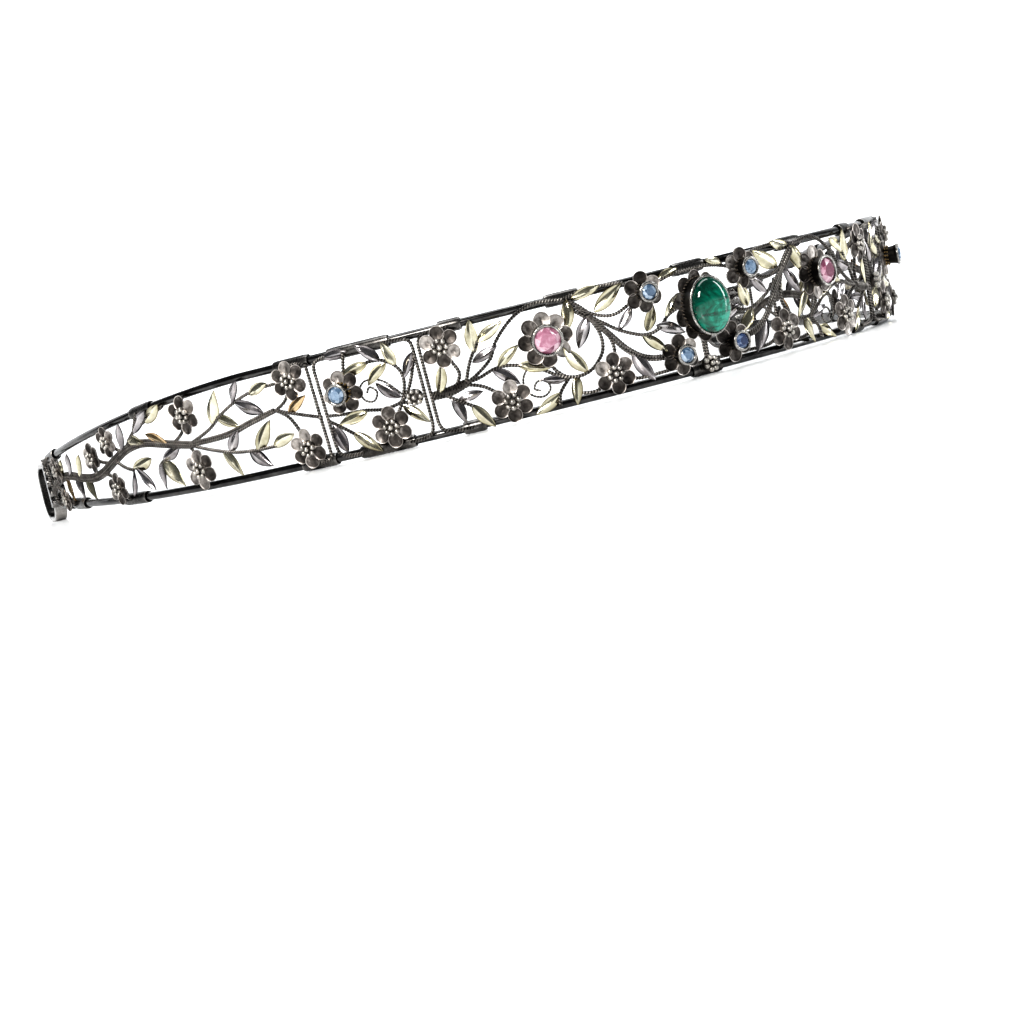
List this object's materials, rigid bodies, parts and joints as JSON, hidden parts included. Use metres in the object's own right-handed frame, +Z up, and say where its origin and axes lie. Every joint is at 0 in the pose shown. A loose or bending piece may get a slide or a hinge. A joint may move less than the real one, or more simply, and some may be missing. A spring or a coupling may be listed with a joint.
{
  "type": "bandeau diadem",
  "caption": "Slender openwork bandeau diadem of wire stems, gilt leaves and small flowers on round rails, set with a domed green stone and small pink and blue stones, a ribbon loop at each end.",
  "frame": {"origin": "on the floor, under the middle of the whole diadem's box", "axes": "+Z up, -Y the front with the green stone, +X to the right of someone who faces the front"},
  "size_m": [0.1564, 0.1279, 0.0186],
  "materials": {
    "dark_silver": "blackened silver, worn bright on the high spots, with pale gilt leaves",
    "emerald_stone": "polished domed green stone with inclusions",
    "pink_stone": "polished, faceted",
    "blue_stone": "polished, faceted",
    "dark_blue_stone": "polished, faceted"
  },
  "bodies": {
    "root": {"rails": "dark_silver", "centre_panel": "dark_silver", "left_side_panel": "dark_silver", "right_side_panel": "dark_silver", "left_end_panel": "dark_silver", "right_end_panel": "dark_silver", "emerald": "emerald_stone", "left_pink_stone": "pink_stone", "right_pink_stone": "pink_stone", "upper_left_blue_stone": "blue_stone", "upper_right_blue_stone": "blue_stone", "lower_left_blue_stone": "blue_stone", "lower_right_blue_stone": "dark_blue_stone", "left_outer_blue_stone": "blue_stone", "right_outer_blue_stone": "blue_stone"}
  },
  "joints": []
}
